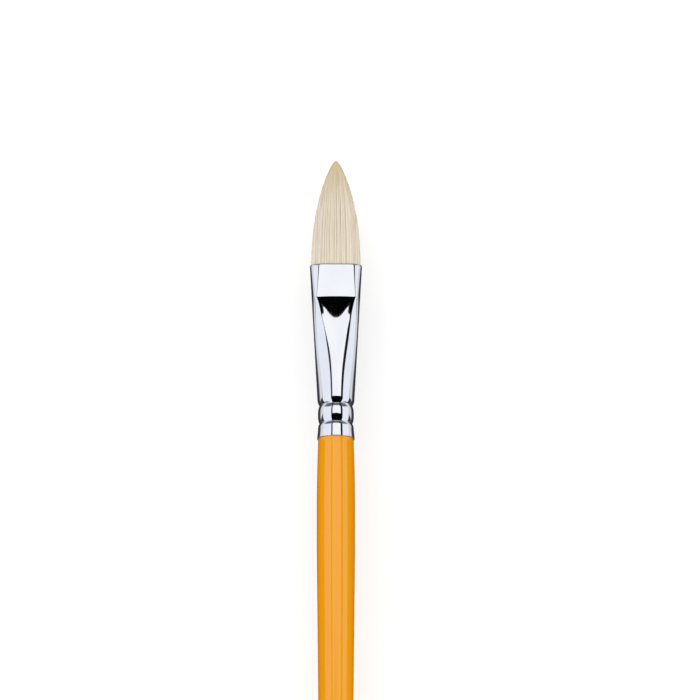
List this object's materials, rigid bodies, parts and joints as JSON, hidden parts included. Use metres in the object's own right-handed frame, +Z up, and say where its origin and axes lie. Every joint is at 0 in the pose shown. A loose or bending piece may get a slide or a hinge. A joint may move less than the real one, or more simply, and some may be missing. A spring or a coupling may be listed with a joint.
{
  "type": "artist's paint brush",
  "caption": "Long-handled filbert paint brush: rounded flat bristle tuft in a flattened bright metal ferrule, crimped onto a slim lacquered wooden handle with a gently swollen grip.",
  "frame": {"origin": "on the resting surface, under the middle of the brush's length and width", "axes": "+Y along the brush towards the tip of the tuft, +X across its width, +Z up through its flat face"},
  "size_m": [0.013, 0.306, 0.0095],
  "materials": {
    "bristle": "satin",
    "thread": "matte",
    "resin": "gloss",
    "nickel": "polished",
    "glue": "satin",
    "wood": "matte",
    "lacquer": "gloss"
  },
  "bodies": {
    "brush": {"bristle_roots": "bristle", "root_binding": "thread", "resin_plug": "resin", "ferrule": "nickel", "tenon_glue": "glue", "handle_core": "wood", "handle_lacquer": "lacquer"},
    "tuft": {"front_bristles": "bristle", "core_bristles": "bristle", "back_bristles": "bristle"}
  },
  "joints": [
    {"name": "tuft_flex", "type": "hinge", "parent": "brush", "child": "tuft", "pos_m": [0, 0.12865, 0.00475], "axis": [1, 0, 0], "range_deg": [-30, 30], "stiffness_Nm_per_rad": 0.03}
  ]
}
